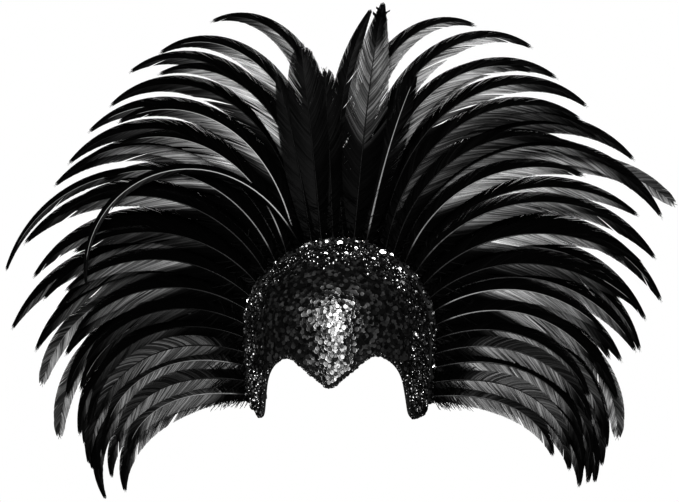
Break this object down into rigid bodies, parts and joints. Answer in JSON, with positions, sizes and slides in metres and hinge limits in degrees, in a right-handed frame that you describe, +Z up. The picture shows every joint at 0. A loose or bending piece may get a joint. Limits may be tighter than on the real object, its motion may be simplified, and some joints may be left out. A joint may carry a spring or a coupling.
{
  "type": "feather headdress",
  "caption": "Black showgirl headdress: a sequinned half cap with a widow's peak and temple tabs, edged in sparkling trim, that carries a wide fan of curved feathers and a plume crest.",
  "frame": {"origin": "inside of the cap's crown, where it sits on the head", "axes": "+Z up, -Y the way the wearer faces, +X to the wearer's left"},
  "size_m": [0.6202, 0.1539, 0.4542],
  "materials": {
    "sequin_cloth": "small overlapping black sequins on stiff cloth, bright highlights",
    "trim": "raised band of larger black sequins and faceted stones",
    "binding": "plain dark rolled binding",
    "feather": "black tail feathers with a grey satin sheen along each vane and a paler quill"
  },
  "bodies": {
    "root": {"cap_shell": "sequin_cloth", "cap_band": "sequin_cloth", "edge_binding": "binding", "rim_trim": "trim", "row_1_crown_left": "feather", "row_1_shoulder_left": "feather", "row_1_temple_left": "feather", "row_1_crown_right": "feather", "row_1_shoulder_right": "feather", "row_1_temple_right": "feather", "row_2_crown_left": "feather", "row_2_shoulder_left": "feather", "row_2_temple_left": "feather", "row_2_crown_right": "feather", "row_2_shoulder_right": "feather", "row_2_temple_right": "feather", "row_3_crown_left": "feather", "row_3_shoulder_left": "feather", "row_3_temple_left": "feather", "row_3_crown_right": "feather", "row_3_shoulder_right": "feather", "row_3_temple_right": "feather", "row_4_crown_left": "feather", "row_4_shoulder_left": "feather", "row_4_temple_left": "feather", "row_4_crown_right": "feather", "row_4_shoulder_right": "feather", "row_4_temple_right": "feather", "plume_1": "feather", "plume_2": "feather", "plume_3": "feather", "plume_4": "feather", "plume_5": "feather", "plume_6": "feather", "stray_feather": "feather"}
  },
  "joints": []
}
